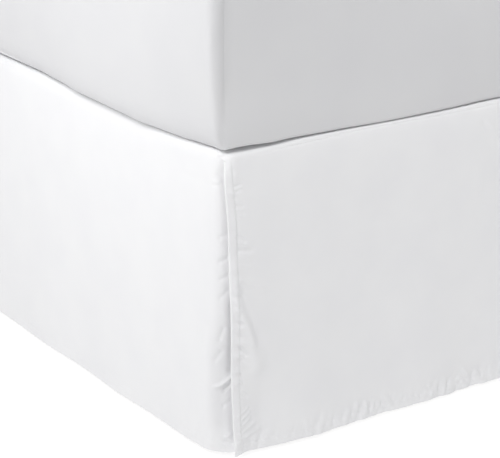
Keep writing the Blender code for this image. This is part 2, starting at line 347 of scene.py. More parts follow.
# the same for the left side drop, round the corner and under the free edge
sideCreases = creasesOf(
    (((-0.006, 0.382), (0.000, 0.374)), 0.0060, -0.0016),
    (((-0.019, 0.368), (-0.006, 0.3705)), 0.0022, -0.0006),
    (((-0.018, 0.373), (-0.006, 0.3750)), 0.0022, 0.0005),
    (((-0.031, 0.367), (-0.110, 0.3640), (-0.197, 0.3620)), 0.0055, -0.0008),
    (((-0.060, 0.392), (-0.200, 0.350), (-0.330, 0.322)), 0.0200, -0.0011),
    (((0.003, 0.306), (-0.007, 0.302)), 0.0028, -0.0006),
    (((0.004, 0.276), (-0.007, 0.270)), 0.0028, -0.0010),
    (((0.004, 0.252), (-0.006, 0.247)), 0.0028, -0.0008),
    (((0.004, 0.232), (-0.007, 0.222)), 0.0030, -0.0008),
    (((0.014, 0.212), (0.012, 0.170), (0.008, 0.120)), 0.0070, -0.0030),
    (((-0.004, 0.180), (-0.012, 0.164)), 0.0036, -0.0011),
    (((-0.010, 0.146), (-0.021, 0.134)), 0.0040, -0.0010),
    (((0.007, 0.1095), (-0.011, 0.0990), (-0.020, 0.0965)), 0.0030, 0.0021),
    (((0.009, 0.1040), (-0.007, 0.0920)), 0.0032, -0.0026),
    (((-0.012, 0.086), (-0.011, 0.044)), 0.0120, -0.0016),
    (((0.004, 0.076), (-0.008, 0.070)), 0.0036, -0.0010),
    (((0.009, 0.090), (0.011, 0.030)), 0.0080, -0.0020),
    (((0.006, 0.030), (-0.008, 0.024)), 0.0028, 0.0010),
    (((0.007, 0.017), (-0.008, 0.025)), 0.0026, -0.0013),
)

# along the foot, how much the hem's stitches draw up the cloth there
hemPatches = (
    (0.010, 0.40), (0.085, 0.35), (0.120, 0.80), (0.175, 0.50), (0.215, 1.15), (0.255, 0.90),
    (0.300, 0.55), (0.345, 1.10), (0.410, 1.20), (0.490, 0.30), (0.580, 0.90), (0.680, 0.40),
    (0.790, 1.10), (0.900, 0.50), (1.020, 0.90), (1.130, 0.35), (1.240, 1.10), (1.400, 0.60),
    (1.520, 0.90),
)


def creaseRise(crease, along, height):
    # fades off from the nearest point of the crease's line
    nearest = math.inf
    for (startAlong, startHeight), (endAlong, endHeight) in zip(crease.line, crease.line[1:]):
        run, climb = endAlong - startAlong, endHeight - startHeight
        outAlong, outHeight = along - startAlong, height - startHeight
        share = (outAlong * run + outHeight * climb) / (run * run + climb * climb)
        share = min(max(share, 0.0), 1.0)
        nearest = min(nearest, math.hypot(outAlong - share * run, outHeight - share * climb))
    return crease.rise * bell(nearest, crease.halfWidth)


def hemSewing(along, height, seed, patch):
    # the hem's line of stitches, and what it draws up on both sides, more or less by the patch
    away = height - heightAt(skirt["drop"]) - sewing["hemWidth"]
    if away > sewing["hemLimit"]:
        return 0.0
    chance = ease(0.4 + uneven(along / sewing["chanceWave"], 0.7, seed + 7.7))
    reach = sewing["reach"] + sewing["reachByPatch"] * patch + sewing["reachByChance"] * chance
    lean = sewing["lean"] * uneven(along / sewing["leanWave"], 0.1, seed + 1.3) * away
    pitch, small = sewing["pitch"], sewing["small"]
    pleat = uneven((along + lean) / pitch, away / sewing["puckerLength"], seed)
    pleat += small * uneven((along - lean) / (small * pitch), away / sewing["smallLength"], seed + 5)
    dip = sewing["hemDip"] * bell(away, sewing["stitchHalfWidth"])
    return patch * sewing["hemPucker"] * pleat * bell(away, reach) - dip


def sideHemSewing(distance, height, seed, reach, strength):
    # the same along an upright hem, which is folded and stands up a little beside its stitches
    away = distance - sewing["sideHemWidth"]
    if away > sewing["sideLimit"]:
        return 0.0
    patch = ease(0.75 + 0.7 * uneven(height / sewing["patchWave"], 0.9, seed + 2.2))
    pitch = sewing["sidePitch"] * sewing["pitch"]
    pleat = uneven((height + sewing["sideLean"] * away) / pitch, away / sewing["smallLength"], seed)
    rise = strength * sewing["sidePucker"] * patch * pleat * bell(away, reach)
    step = ease(0.5 - away / sewing["stepFade"]) * (1.5 - 0.5 * distance / sewing["sideHemWidth"])
    dip = sewing["sideDip"] * bell(away, sewing["stitchHalfWidth"])
    return rise + sewing["hemStep"] * step - dip


def slackness(along, height, seed):
    free = ease((skirt["top"] - height) / slack["fade"])
    (wide, tall), (smallWide, smallTall) = slack["wave"], slack["smallWave"]
    slow = uneven(along / wide, height / tall, seed)
    slow += slack["small"] * uneven(along / smallWide, height / smallTall, seed + 9)
    return slack["rise"] * slow * free


def fullness(fall, most):
    # hanging cloth stands off a little below the roll, and comes back by the hem
    grown = 1 - math.exp(-max(fall - skirt["fullFrom"], 0.0) / skirt["fullOver"])
    return most * grown * (1 - fall / skirt["drop"])


def seamSpace(along):
    fromCorner = abs(along - seamLine["corner"])
    return seamLine["gap"] * rising(fromCorner, *seamLine["gapOpens"])


def seamSewing(along, below, seed):
    # cloth drawn in at the seam with the deck
    wide, deep = seamLine["rippleWave"]
    ripple = seamLine["ripple"] * uneven(along / wide, below / deep, seed)
    ripple *= bell(below - seamLine["rippleDepth"], seamLine["rippleHalfWidth"])
    share = rising(abs(along - seamLine["corner"]), *seamLine["dipDeepens"])
    return ripple - share * seamLine["dip"] * bell(below, seamLine["dipHalfWidth"])


def hemLayer(distance):
    # 1 on a hem, 0 beyond it, from the distance inside its stitches
    return ease(distance / sewing["hemEnds"] + 0.5)


def newPiece(name, shape, finish):
    mesh = bpy.data.meshes.new(name)
    shape.to_mesh(mesh)
    shape.free()
    mesh.materials.append(finish)
    mesh.shade_smooth()
    piece = bpy.data.objects.new(name, mesh)
    bpy.context.scene.collection.objects.link(piece)
    return piece


def thicken(piece, thickness, hems=None):
    # gives the sheet its thickness, and keeps its cut edges crisp
    wall = piece.modifiers.new("Cloth", "SOLIDIFY")
    wall.thickness = thickness
    wall.offset = 0.0
    if hems:
        wall.vertex_group = hems
        wall.thickness_vertex_group = sewing["clothThickness"] / thickness
    with bpy.context.temp_override(object=piece, active_object=piece):
        bpy.ops.object.modifier_apply(modifier="Cloth")
    piece.data.set_sharp_from_angle(angle=math.radians(60))


def joinRows(shape, rows):
    for upper, lower in zip(rows, rows[1:]):
        for c in range(len(upper) - 1):
            shape.faces.new((upper[c], lower[c], lower[c + 1], upper[c + 1]))


def cutCloth(start, length, cell, finer):
    # flat cloth in its own lengths, x along and y down, with smaller cells where finer says
    columns = round(length / cell)
    rows = round(clothDrop / cell)
    shape = bmesh.new()
    points = []
    for row in range(rows + 1):
        down = clothDrop * row / rows
        places = [start + length * column / columns for column in range(columns + 1)]
        points.append([shape.verts.new((place, down, 0)) for place in places])
    joinRows(shape, points)
    for wanted in finer:
        edges = set()
        for face in shape.faces:
            middle = face.calc_center_median()
            if wanted(middle.x, middle.y):
                edges.update(face.edges)
        bmesh.ops.subdivide_edges(shape, edges=list(edges), cuts=1, use_grid_fill=True)
    return shape


def sewnPiece(name, shape, place, isHem, cloth, flip):
    # hangs the flat cloth at place(along, down), and gives it its weave's map and its thickness
    weave = shape.loops.layers.uv.new("weave")
    for face in shape.faces:
        for loop in face.loops:
            loop[weave].uv = (loop.vert.co.x, -loop.vert.co.y)
    shape.verts.index_update()
    hemmed = []
    for vertex in shape.verts:
        along, down = vertex.co.x, vertex.co.y
        hemmed.append(isHem(along, down))
        vertex.co = place(along, down)
    if flip:
        bmesh.ops.reverse_faces(shape, faces=shape.faces)
    piece = newPiece(name, shape, cloth)
    hems = piece.vertex_groups.new(name="hems")
    for index, weight in enumerate(hemmed):
        if weight > 0:
            hems.add([index], weight, "REPLACE")
    thicken(piece, sewing["hemThickness"], "hems")
    return piece


def declareSheet(piece, node):
    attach(piece, "root")
    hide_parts(node)


def makeFootDrop(cloth):
    panel = {
        "seed": 4.0,
        "cell": 0.008,
        "middling": (0.036, 0.052, 0.118),  # smaller cells, this near to seam, hem and free edge
        "fine": (0.006, 0.030, 0.034),
        "finest": 0.024,  # from the left free edge
        "finestTip": (0.058, 0.075),  # from its tip, along and up
        "narrowed": 0.004,  # the cells grow narrower towards the free edge
        "narrowing": 1.6,
        "turn": 0.0016,  # radius of the free edge
        "seamFall": 0.012,
        "split": 0.125,  # cloth over which the free edge's slant evens out
        "puckerReach": 0.0075,
        "puckersGrow": (0.402, 0.022),  # from this height down, over this length
        "fullByEdge": 0.0028,
        "fullMore": 0.0022,
        "fullGrows": (0.015, 0.07),
        "flatter": 0.75,
        "flatterFrom": (0.008, 0.040),
        "looserFrom": (0.30, 0.10),
        "outwards": 0.68,
        "hemWander": 0.0005,
        "hemWave": 0.035,
        "hemBand": 0.006,
        "liftHeight": 0.05,
    }
    # how the stitches lift the hem by the free edge: distance from it, half width, lift
    lifts = ((0.009, 0.007, 0.0032), (0.022, 0.009, 0.0020))

    def near(along):
        return min(along, footSpan - along)

    def banded(bands, along, down):
        seamBand, hemBand, edgeBand = bands
        return down < seamBand or down > clothDrop - hemBand or near(along) < edgeBand

    def middling(along, down):
        return banded(panel["middling"], along, down)

    def fine(along, down):
        return banded(panel["fine"], along, down)

    def finest(along, down):
        tipAlong, tipUp = panel["finestTip"]
        return along < panel["finest"] or (along < tipAlong and down > clothDrop - tipUp)

    def hang(place, down):
        side, distance = (-1, place) if place <= footSpan / 2 else (1, footSpan - place)
        if distance < panel["narrowed"]:
            distance = panel["narrowed"] * (distance / panel["narrowed"]) ** panel["narrowing"]
        height = heightAt(panel["seamFall"] + down)
        along = distance + readTable(splitEdge, height) * (1 - ease(distance / panel["split"]))
        fromLeft = along if side < 0 else footSpan - along
        seam = readTable(seamDepths, along)
        top = seam + seamSpace(along)
        depth = top + down * (hemDepth - top) / clothDrop
        fall = rollProfile(depth)[1]
        height = heightAt(fall)
        free = ease((depth - seam) / skirt["rollBand"])
        edge = along - readTable(splitEdge, height)

        swing = footSwing(side, along, height) + cornerFolds(side, along, height)
        swing = (swing + foldRise(freeEdgeFlare, along, height)) * free
        swing += hemSewing(fromLeft, height, panel["seed"], readTable(hemPatches, fromLeft))
        puckers = sideHemSewing(edge, height, panel["seed"] + side, panel["puckerReach"], 1.0)
        swing += puckers * falling(height, *panel["puckersGrow"])
        swing += slackness(fromLeft, height, panel["seed"]) + seamSewing(fromLeft, depth - seam, 2.0)
        if distance < panel["turn"]:
            inside = panel["turn"] - distance
            swing -= panel["turn"] - math.sqrt(panel["turn"] ** 2 - inside ** 2)
        if side < 0:
            swing += sum(creaseRise(crease, along, height) for crease in footCreases)
        more = panel["fullMore"] * rising(along, *panel["fullGrows"])
        swing += fullness(fall, panel["fullByEdge"] + more)
        point = clothPoint(side, along, depth, swing)

        # beside the split it hangs flatter than the corner that it covers
        flatter = panel["flatter"] * rising(fall, *panel["flatterFrom"])
        flatter *= 1 - 0.5 * rising(fall, *panel["looserFrom"])
        forward = flatter * cornerPath(along, cornerRadius(fall))[1]
        point.x += side * forward * panel["outwards"]
        point.y -= forward
        wander = panel["hemWander"] * uneven(fromLeft / panel["hemWave"], 0.4, 8.8)
        point.z += wander * bell(hemDepth - depth, panel["hemBand"])
        lifted = sum(lift * bell(edge - middle, width) for middle, width, lift in lifts)
        point.z += lifted * ease(1 - height / panel["liftHeight"])
        return point

    def hem(place, down):
        sideHem = hemLayer(sewing["sideHemWidth"] - near(place))
        return max(sideHem, hemLayer(down - clothDrop + sewing["hemWidth"]))

    shape = cutCloth(0.0, footSpan, panel["cell"], (middling, fine, finest))
    piece = sewnPiece("foot_drop_cloth", shape, hang, hem, cloth, False)
    declareSheet(piece, "foot_drop")


def makeSideDrop(name, node, side, swings, creases, seed, cloth):
    panel = {
        "cell": 0.009,
        "middling": (0.036, 0.044),  # smaller cells, this near to seam and hem
        "middlingSplit": (-0.085, 0.030),
        "middlingHead": 0.05,
        "fineHem": (0.030, 0.018),  # where the photo shows it, and elsewhere
        "fineShown": -0.64,
        "fineSplit": (-0.030, 0.022),
        "fineHead": 0.018,
        "finestSplit": (-0.018, 0.010),
        "tuckLead": 0.002,  # how far past the foot drop's free edge it lies fully behind it
        "tuckRun": 0.008,
        "tuckByRadius": 5,
        "tailRun": 0.010,
        "tailShare": 0.55,
        "hidden": (0.010, 0.015),  # what lies further behind the foot drop is left plain
        "patch": 0.30,
        "patchWave": 0.085,
        "headReach": 0.007,
        "headStrength": 0.8,
        "tuck": 0.00035,
        "tuckWave": (0.03, 0.011),
        "tuckMiddle": -0.002,
        "tuckHalfWidth": 0.010,
        "full": 0.0012,
        "drawnIn": 0.0085,
        "drawnAlong": (-0.042, 0.052),
        "drawnBelow": (0.215, 0.09),
        "drawnAtHem": 0.35,
        "drawnFrom": (0.006, 0.045),
        "lift": 0.0021,
        "liftMiddle": -0.058,
        "liftHalfWidth": 0.016,
        "liftHeight": 0.05,
    }
    start, end = -sideSpan, skirt["tailLength"]

    def within(name, along):
        low, high = panel[name]
        return low < along < high

    def middling(along, down):
        seamBand, hemBand = panel["middling"]
        banded = down < seamBand or down > clothDrop - hemBand
        return banded or within("middlingSplit", along) or along < start + panel["middlingHead"]

    def fine(along, down):
        hemBand = panel["fineHem"][0 if along > panel["fineShown"] and side < 0 else 1]
        banded = along < panel["fineSplit"][1] and down > clothDrop - hemBand
        return banded or within("fineSplit", along) or along < start + panel["fineHead"]

    def finest(along, down):
        return side < 0 and within("finestSplit", along)

    def hang(along, down):
        seam = readTable(seamDepths, along)
        top = seam + seamSpace(along)
        depth = top + down * (hemDepth - top) / clothDrop
        fall = rollProfile(depth)[1]
        height = heightAt(fall)
        free = ease((depth - seam) / skirt["rollBand"])

        # from the long side's own hang to that of the foot drop that covers its tail
        tuckEnd = readTable(splitEdge, height) + panel["tuckLead"]
        tuckStart = tuckEnd - panel["tuckRun"] - cornerRadius(fall) / panel["tuckByRadius"]
        tucked = ease((along - tuckStart) / (tuckEnd - tuckStart))
        sideSwing = readTable(swings, -along) * hemFade(height)
        behind = footSwing(side, along, height) + min(cornerFolds(side, along, height), 0.0)
        deeper = (1 - panel["tailShare"]) * ease((along - tuckEnd) / panel["tailRun"])
        tailSwing = behind * free - skirt["tailTuck"] * (panel["tailShare"] + deeper)
        swing = sideSwing + (tailSwing - sideSwing) * tucked

        shown = 1 - rising(along, *panel["hidden"])
        chance = ease(0.62 + 0.65 * uneven(along / panel["patchWave"], 0.3, seed + 3.1))
        swing += shown * hemSewing(-along, height, seed, panel["patch"] * chance)
        swing += shown * slackness(-along, height, seed)
        headHem = along - start
        swing += sideHemSewing(headHem, height, seed, panel["headReach"], panel["headStrength"])
        swing += seamSewing(along, depth - seam, seed)
        # small tucks round the corner, drawn by the split's stitches
        wide, tall = panel["tuckWave"]
        small = uneven((height + 0.3 * along) / tall, along / wide, seed + 2)
        swing += panel["tuck"] * small * bell(along - panel["tuckMiddle"], panel["tuckHalfWidth"]) * free
        swing += sum(creaseRise(crease, along, height) for crease in creases) * shown
        if side < 0:
            # low down it is drawn in towards the split
            higher = (1 - panel["drawnAtHem"]) * rising(height, *panel["drawnFrom"])
            low = falling(height, *panel["drawnBelow"]) * (panel["drawnAtHem"] + higher)
            swing -= panel["drawnIn"] * low * rising(along, *panel["drawnAlong"])
        point = clothPoint(side, along, depth, swing + fullness(fall, panel["full"]))
        if side < 0:
            lift = panel["lift"] * bell(along - panel["liftMiddle"], panel["liftHalfWidth"])
            point.z += lift * ease(1 - height / panel["liftHeight"])
        return point

    def hem(along, down):
        sideHem = hemLayer(sewing["sideHemWidth"] - along + start)
        return max(sideHem, hemLayer(down - clothDrop + sewing["hemWidth"]))

    shape = cutCloth(start, end - start, panel["cell"], (middling, fine, finest))
    piece = sewnPiece(name, shape, hang, hem, cloth, side > 0)
    declareSheet(piece, node)


def makeDeck(cloth):
    # the flat sheet under the mattress, with its edge rolled over the foot
    deck = {
        "rows": 12,
        "rim": 0.004,
        "corner": 0.06,
        "sideCell": 0.020,
        "cornerCell": 0.003,
        "footCell": 0.006,
    }
    corner, far = deck["corner"], footSpan + sideSpan
    places = []
    for begin, end, step in (
        (-sideSpan, -corner, deck["sideCell"]),
        (-corner, corner, deck["cornerCell"]),
        (corner, footSpan - corner, deck["footCell"]),
        (footSpan - corner, footSpan + corner, deck["cornerCell"]),
        (footSpan + corner, far, deck["sideCell"]),
    ):
        count = round((end - begin) / step)
        places += [begin + (end - begin) * number / count for number in range(count)]
    places.append(far)
    shape = bmesh.new()
    weave = shape.loops.layers.uv.new("weave")
    grid, flat = [], {}
    for row in range(deck["rows"] + 1):
        line = []
        for place in places:
            side, along = (-1, place) if place <= footSpan / 2 else (1, footSpan - place)
            seam = readTable(seamDepths, along)
            inner = min(seam, 0.0) - deck["rim"]
            depth = inner + (seam - seamSpace(along) - inner) * row / deck["rows"]
            swing = seamSewing(along, depth - seam, 2.0)
            line.append(shape.verts.new(clothPoint(side, along, depth, swing)))
            flat[line[-1]] = (place, -depth)
        grid.append(line)
    joinRows(shape, grid)
    middle = shape.faces.new(grid[0][::-1])
    for face in shape.faces:
        for loop in face.loops:
            loop[weave].uv = loop.vert.co.xy if face == middle else flat[loop.vert]
    bmesh.ops.recalc_face_normals(shape, faces=shape.faces)
    piece = newPiece("deck_cloth", shape, cloth)
    thicken(piece, sewing["clothThickness"])
    declareSheet(piece, "deck")


# the outline of the mattress and the base, seen from above, and their side seen in section
rim = {"cornerCell": 0.003, "cornerCells": 8, "sideCell": 0.014, "leastRadius": 0.003, "edgeRows": 8}


def rimStations(half, radius):
    # places round a rounded rectangle: corner number, share of its turn, share of the next side
    stations = []
    for corner in range(4):
        turn = max(round(radius * math.pi / 2 / rim["cornerCell"]), rim["cornerCells"])
        stations += [(corner, number / turn, 0.0) for number in range(turn + 1)]
        length = 2 * (half[corner % 2] - radius)
        count = round(length / rim["sideCell"])
        stations += [(corner, 1.0, number / count) for number in range(1, count)]
    return stations


def rimPoint(half, radius, inset, station):
    # a station's point and outward normal on the rim drawn in by the inset
    corner, turn, share = station
    rounded = max(radius - inset, rim["leastRadius"])
    signs = ((-1, -1), (1, -1), (1, 1), (-1, 1))

    def onCorner(number, part):
        angle = math.pi + (number + part) * math.pi / 2
        signX, signY = signs[number % 4]
        core = Vector((signX * (half[0] - inset - rounded), signY * (half[1] - inset - rounded)))
        normal = Vector((math.cos(angle), math.sin(angle)))
        return core + normal * rounded, normal

    point, normal = onCorner(corner, turn)
    if share > 0:
        point = point.lerp(onCorner(corner + 1, 0.0)[0], share)
    return point, normal


def padProfile(thickness, underRadius, topRadius, flatInsets, sideRows, underInsets=()):
    # inset, level and how much of the side's shaping applies, from underneath to the top
    rows = [(inset, 0.0, 0.0) for inset in flatInsets + underInsets]
    turns = [number / rim["edgeRows"] * math.pi / 2 for number in range(rim["edgeRows"] + 1)]
    for angle in turns:
        inset, level = underRadius * (1 - math.sin(angle)), underRadius * (1 - math.cos(angle))
        rows.append((inset, level, math.sin(angle)))
    low, high = underRadius, thickness - topRadius
    rows += [(0.0, low + (high - low) * number / sideRows, 1.0) for number in range(1, sideRows)]
    for angle in turns:
        inset, level = topRadius * (1 - math.cos(angle)), high + topRadius * math.sin(angle)
        rows.append((inset, level, math.cos(angle)))
    return rows + [(inset, thickness, 0.0) for inset in flatInsets[::-1]]


def padShell(name, size, bottom, radius, profile, shapeSide, finish):
    half = (size[0] / 2, size[1] / 2)
    stations = rimStations(half, radius)
    shape = bmesh.new()
    rings = []
    for inset, level, share in profile:
        ring = []
        for station in stations:
            point, normal = rimPoint(half, radius, inset, station)
            out, lift = shapeSide(point, normal, inset, level)
            point = point + normal * out * share
            ring.append(shape.verts.new((point.x, point.y + bed["shift"], bottom + level + lift)))
        rings.append(ring)
    for lower, upper in zip(rings, rings[1:]):
        for number in range(len(stations)):
            after = (number + 1) % len(stations)
            shape.faces.new((lower[number], lower[after], upper[after], upper[number]))
    shape.faces.new(rings[0][::-1])
    shape.faces.new(rings[-1])
    return newPiece(name, shape, finish)


def makeMattress(cover):
    pad = {
        "planRadius": 0.0095,
        "underRadius": 0.0055,
        "topRadius": 0.030,
        "belly": 0.003,
        "crown": 0.010,
        "crownOver": 0.45,
        "overhang": 0.009,  # of the left side
        "overhangOver": 0.015,
        "cornerLean": 0.007,
        "leanLength": 0.6,
        "leanFrom": (0.015, 0.06),
        "edgeFades": (0.02, 0.10),  # the tables of the lower edge, from this level up
        "farEdge": 0.004,
        "farWave": 0.35,
        "slack": 0.0012,
        "sideWave": (0.17, 0.09),
        "topWave": (0.21, 0.26),
        "ripple": 0.0016,
        "rippleWave": (0.012, 0.016),
        "liftTo": 0.7,
        "liftSide": 0.15,
        "liftRim": 0.09,
        "liftHeight": 0.08,
        "droopHeight": 0.06,
        "leftDroopRim": 0.014,
        "footDroopRim": 0.009,
        "sideRows": 16,
    }
    # distance from the foot corner, how far the lower edge stands out there
    leftEdge = (
        (0.020, -0.0045), (0.055, -0.0022), (0.095, 0.0008), (0.135, 0.0033), (0.176, 0.0073),
        (0.227, 0.0067), (0.334, 0.0050), (0.404, 0.0000), (0.468, -0.0030), (0.534, -0.0067),
        (0.603, -0.0100), (0.700, -0.0060), (0.900, 0.0020), (1.200, 0.0060), (1.500, -0.0010),
        (1.800, 0.0030), (2.040, -0.0020),
    )
    footEdge = (
        (0.000, 0.0000), (0.030, 0.0020), (0.060, 0.0016), (0.130, -0.0008), (0.300, -0.0008),
        (0.377, -0.0012), (0.430, -0.0025), (0.520, -0.0035), (0.700, 0.0000), (0.900, 0.0020),
        (1.200, -0.0020), (1.534, 0.0010),
    )
    # distance from the foot corner, how far the mattress lifts off the deck
    footLift = (
        (0.008, 0.0007), (0.030, 0.0028), (0.070, 0.0024), (0.120, 0.0006), (0.420, 0.0006),
        (0.600, 0.0000),
    )
    leftLift = (
        (0.015, 0.0010), (0.050, 0.0012), (0.120, 0.0010), (0.300, 0.0007), (0.400, 0.0014),
        (0.470, 0.0034), (0.600, 0.0040),
    )
    # distance from the foot corner, how far the lower edge droops over the bed's edge
    footDroop = (
        (0.000, -0.0002), (0.010, 0.0000), (0.025, 0.0006), (0.051, 0.0018), (0.077, 0.0034),
        (0.107, 0.0008), (0.167, 0.0017), (0.256, 0.0036), (0.345, 0.0029), (0.430, 0.0006),
        (0.520, 0.0003),
    )
    leftDroop = (
        (0.000, -0.0008), (0.017, -0.0006), (0.050, 0.0016), (0.083, 0.0041), (0.138, 0.0050),
        (0.181, 0.0053), (0.214, 0.0043), (0.280, 0.0029), (0.334, 0.0026), (0.404, 0.0009),
        (0.468, 0.0000),
    )
    halfWidth, halfLength = bed["mattressWidth"] / 2, bed["mattressLength"] / 2
    thickness = bed["mattressThickness"]

    def lowerEdge(normal, fromLeft, fromFoot):
        # how far the lower edge stands out
        onSide = pad["farEdge"] * uneven(fromFoot / pad["farWave"], 0.2, 6.0)
        onEnd = pad["farEdge"] * uneven(fromLeft / pad["farWave"], 0.2, 7.0)
        if normal.x < 0:
            onSide = readTable(leftEdge, fromFoot)
        if normal.y < 0:
            onEnd = readTable(footEdge, fromLeft)
        return normal.x * normal.x * onSide + normal.y * normal.y * onEnd

    def soften(point, normal, inset, level):
        fromLeft, fromFoot = point.x + halfWidth, point.y + halfLength
        sideways, lengthways = normal.x * normal.x, normal.y * normal.y
        out = lowerEdge(normal, fromLeft, fromFoot) * (1 - rising(level, *pad["edgeFades"]))
        out += pad["belly"] * math.sin(math.pi * level / thickness)
        lift = droop = 0.0
        if normal.x < 0:
            out += sideways * pad["overhang"] * ease(level / pad["overhangOver"])
            byRim = ease(1 - inset / pad["leftDroopRim"])
            droop += sideways * readTable(leftDroop, fromFoot) * byRim
        if normal.y < 0:
            leaning = (1 - ease(fromLeft / pad["leanLength"])) * rising(level, *pad["leanFrom"])
            out -= lengthways * pad["cornerLean"] * leaning
            byRim = ease(1 - inset / pad["footDroopRim"])
            droop += lengthways * readTable(footDroop, fromLeft) * byRim
        wide, tall = pad["sideWave"]
        out += pad["slack"] * uneven((point.x + point.y) / wide, level / tall, 5.5)
        # small slack ripples of the cover round the upright corners
        wide, tall = pad["rippleWave"]
        ripple = 4 * sideways * lengthways * uneven(level / tall, (point.x - point.y) / wide, 3.3)
        out += pad["ripple"] * ripple
        if fromLeft < pad["liftTo"] and fromFoot < pad["liftTo"]:
            byFoot = readTable(footLift, fromLeft) * ease(1 - fromFoot / pad["liftSide"])
            byLeft = readTable(leftLift, fromFoot) * ease(1 - fromLeft / pad["liftSide"])
            byRim = 1 - ease(inset / pad["liftRim"])
            lift = max(byFoot, byLeft) * byRim * (1 - ease(level / pad["liftHeight"]))
        lift -= droop * (1 - ease(level / pad["droopHeight"]))
        if level > thickness / 2:
            away = min(halfWidth - abs(point.x), halfLength - abs(point.y))
            crowned = ease(away / pad["crownOver"]) * rising(level, thickness / 2, 0.1)
            wide, long = pad["topWave"]
            lift += pad["crown"] * crowned
            lift += pad["slack"] * uneven(point.x / wide, point.y / long, 2.6) * ease(away / 0.1)
        return out, lift

    flatInsets = (0.72, 0.60, 0.46, 0.32, 0.21, 0.13, 0.085, 0.055)
    underInsets = (0.022, 0.014, 0.009)
    radii = (pad["underRadius"], pad["topRadius"])
    profile = padProfile(thickness, *radii, flatInsets, pad["sideRows"], underInsets)
    size, bottom = (bed["mattressWidth"], bed["mattressLength"]), bed["mattressUnderside"]
    radius = pad["planRadius"]
    piece = padShell("mattress_padded", size, bottom, radius, profile, soften, cover)
    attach(piece, "root")
    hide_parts("mattress")


def makeBase(cover):
    # the upholstered base, with a sewn edge top and bottom
    base = {
        "planRadius": 0.040,
        "underRadius": 0.008,
        "topRadius": 0.020,
        "lowGroove": 0.022,  # each groove's distance from its edge of the base
        "highGroove": 0.028,
        "groove": 0.0012,
        "grooveHalfWidth": 0.0025,
        "slack": 0.0006,
        "wave": (0.2, 0.12),
        "sideRows": 60,
    }
    thickness = bed["baseThickness"]
    bottom = bed["baseTop"] - thickness

    def upholster(point, normal, inset, level):
        grooves = bell(level - base["lowGroove"], base["grooveHalfWidth"])
        grooves += bell(thickness - level - base["highGroove"], base["grooveHalfWidth"])
        wide, tall = base["wave"]
        slow = uneven((point.x + point.y) / wide, level / tall, 1.5) - 1
        return base["slack"] * slow - base["groove"] * grooves, 0.0

    radii, flatInsets = (base["underRadius"], base["topRadius"]), (0.70, 0.40, 0.15, 0.05)
    profile = padProfile(thickness, *radii, flatInsets, base["sideRows"])
    size = (bed["baseWidth"], bed["baseLength"])
    piece = padShell("bed_base_covered", size, bottom, base["planRadius"], profile, upholster, cover)
    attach(piece, "root")
    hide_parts("bed_base")


def newFinish(name, roughness):
    finish = bpy.data.materials.new(name)
    finish.use_nodes = True
    shader = finish.node_tree.nodes["Principled BSDF"]
    shader.inputs["Roughness"].default_value = roughness
    return finish, finish.node_tree, shader


def colourBetween(tree, shader, factor, low, high):
    ramp = tree.nodes.new("ShaderNodeValToRGB")
    for element, place, colour in zip(ramp.color_ramp.elements, (0.3, 0.7), (low, high)):
        element.position, element.color = place, (*colour, 1)
    tree.links.new(factor, ramp.inputs["Fac"])
    tree.links.new(ramp.outputs["Color"], shader.inputs["Base Color"])


def noiseNode(tree, vector, scale, detail=2.0):
    field = tree.nodes.new("ShaderNodeTexNoise")
    field.inputs["Scale"].default_value = scale
    field.inputs["Detail"].default_value = detail
    tree.links.new(vector, field.inputs["Vector"])
    return field.outputs["Fac"]


def mathNode(tree, operation, first, second):
    node = tree.nodes.new("ShaderNodeMath")
    node.operation = operation
    for number, value in enumerate((first, second)):
        if isinstance(value, (int, float)):
            node.inputs[number].default_value = value
        else:
            tree.links.new(value, node.inputs[number])
    return node.outputs[0]


def plainWeave(tree, vector, pitch):
    # yarns over and under each other
    split = tree.nodes.new("ShaderNodeSeparateXYZ")
    tree.links.new(vector, split.inputs[0])
    waves = []
    for axis in ("X", "Y"):
        turned = mathNode(tree, "MULTIPLY", split.outputs[axis], 2 * math.pi / pitch)
        waves.append(mathNode(tree, "SINE", turned, 0))
    return mathNode(tree, "MULTIPLY", *waves)


def allRound(tree, place):
    # flat places for a weave on the sides and the top alike
    split = tree.nodes.new("ShaderNodeSeparateXYZ")
    tree.links.new(place, split.inputs[0])
    flat = tree.nodes.new("ShaderNodeCombineXYZ")
    for axis, first in (("X", "X"), ("Y", "Z")):
        total = mathNode(tree, "ADD", split.outputs[first], split.outputs["Y"])
        tree.links.new(total, flat.inputs[axis])
    return flat.outputs[0]


def bumped(tree, shader, height, distance, strength):
    bump = tree.nodes.new("ShaderNodeBump")
    bump.inputs["Distance"].default_value = distance
    bump.inputs["Strength"].default_value = strength
    tree.links.new(height, bump.inputs["Height"])
    tree.links.new(bump.outputs["Normal"], shader.inputs["Normal"])


def wovenHeight(tree, weave, nap):
    half = mathNode(tree, "MULTIPLY", weave, 0.5)
    return mathNode(tree, "ADD", half, nap)


def skirtCloth():
    # brushed white microfibre, finely woven
    cloth = {
        "colour": (0.87, 0.87, 0.88),
        "shade": (0.85, 0.85, 0.865),
        "mottle": 14.0,
        "yarn": 0.00045,
        "nap": 900.0,
        "relief": 0.00006,
    }
    finish, tree, shader = newFinish("white microfibre", 0.72)
    shader.inputs["Sheen Weight"].default_value = 0.12
    shader.inputs["Sheen Roughness"].default_value = 0.45
    shader.inputs["Specular IOR Level"].default_value = 0.25
    place = tree.nodes.new("ShaderNodeUVMap")
    place.uv_map = "weave"
    flat = place.outputs["UV"]
    slow = noiseNode(tree, flat, cloth["mottle"])
    colourBetween(tree, shader, slow, cloth["shade"], cloth["colour"])
    nap = noiseNode(tree, flat, cloth["nap"], 3.0)
    height = wovenHeight(tree, plainWeave(tree, flat, cloth["yarn"]), nap)
    bumped(tree, shader, height, cloth["relief"], 0.6)
    return finish


